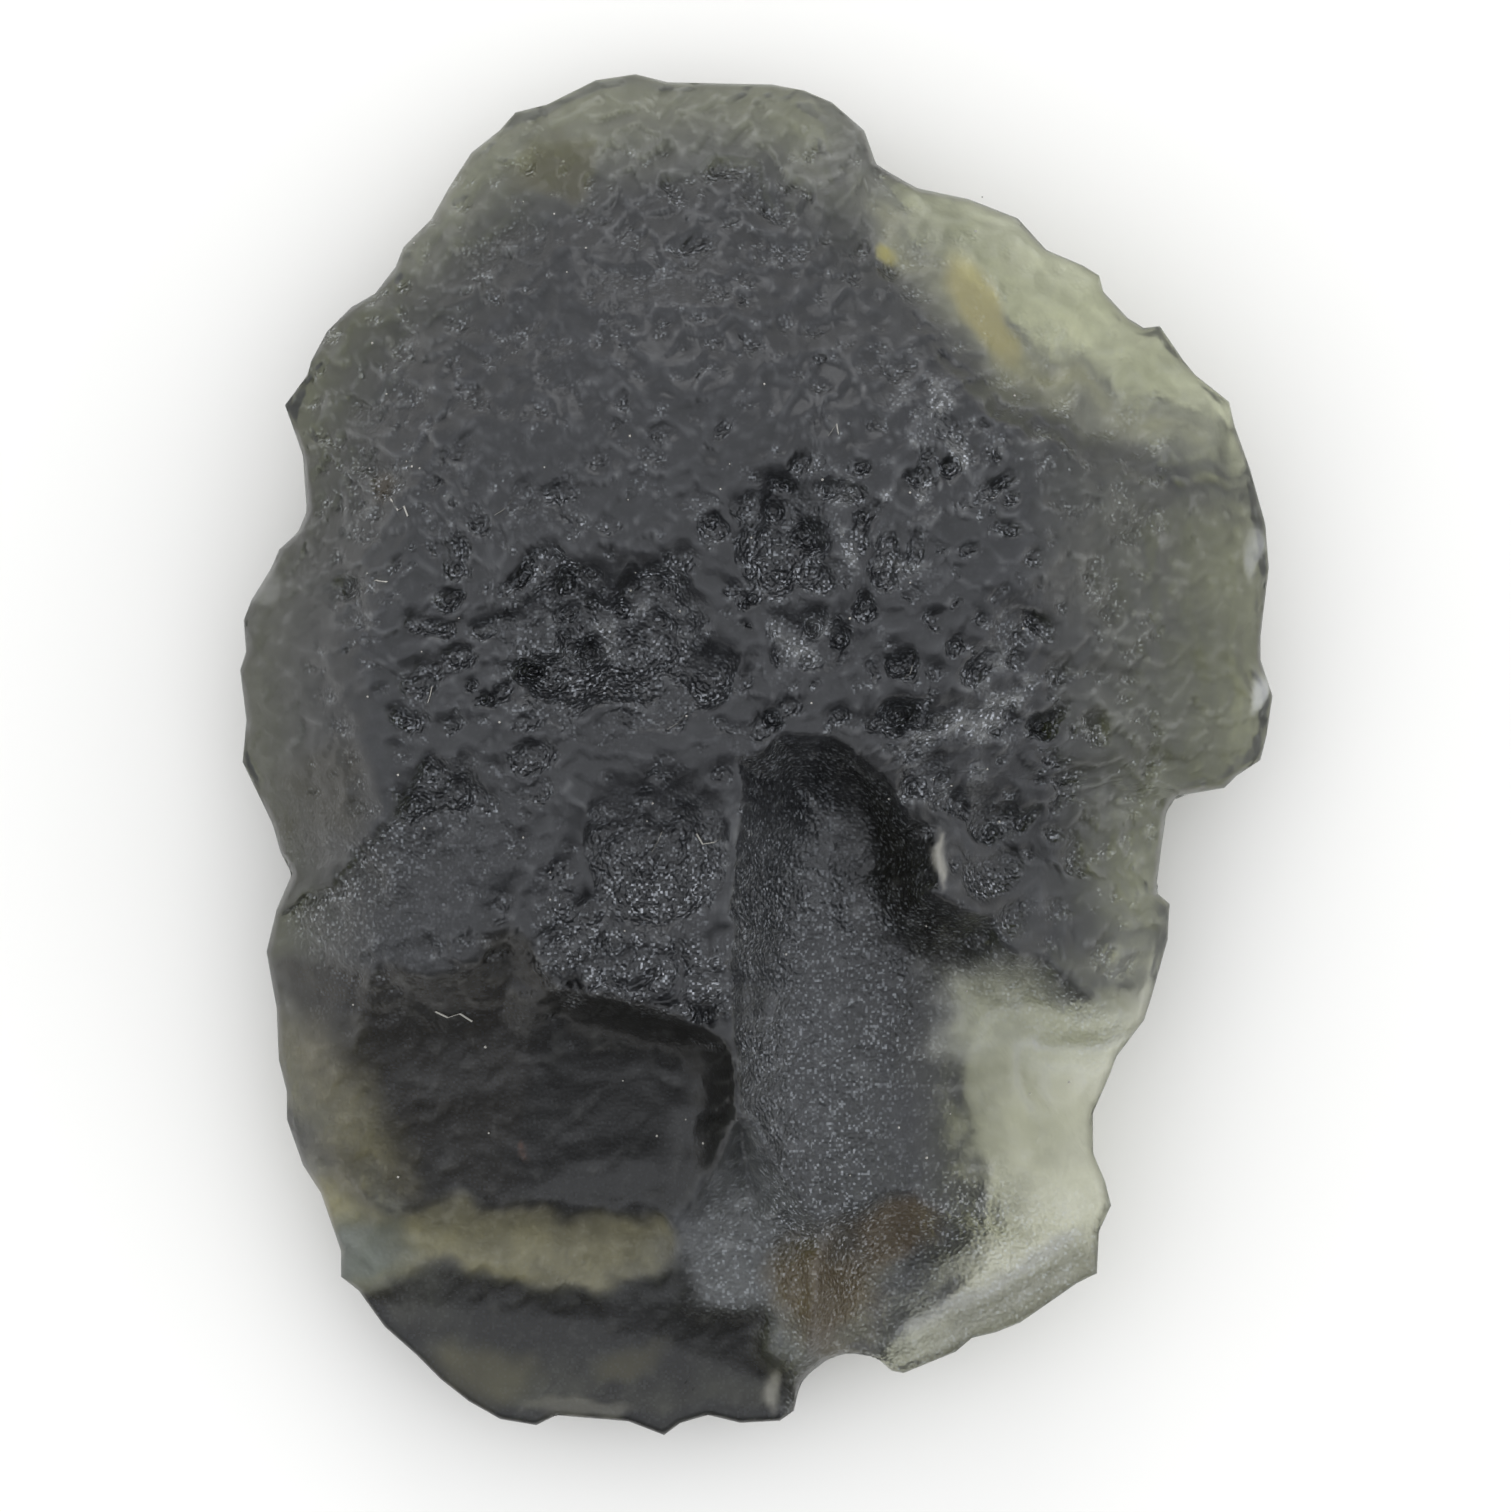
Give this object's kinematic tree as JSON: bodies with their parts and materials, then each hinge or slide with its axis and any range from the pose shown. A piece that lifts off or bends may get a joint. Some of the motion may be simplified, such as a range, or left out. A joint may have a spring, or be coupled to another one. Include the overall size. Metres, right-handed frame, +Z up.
{
  "type": "moldavite",
  "caption": "Flat irregular lump of dark olive natural glass with an etched, pitted upper face, broken scars and thin translucent edges; lies on a small flat spot.",
  "frame": {"origin": "centre of the bounding box at its bottom, on the surface the stone lies on", "axes": "+Z up out of the etched face, +Y along the long way of the stone towards its broad domed end, +X across it"},
  "size_m": [0.0258, 0.034, 0.0099],
  "materials": {
    "moldavite_glass": "etched natural glass"
  },
  "bodies": {
    "root": {"moldavite": "moldavite_glass"}
  },
  "joints": []
}
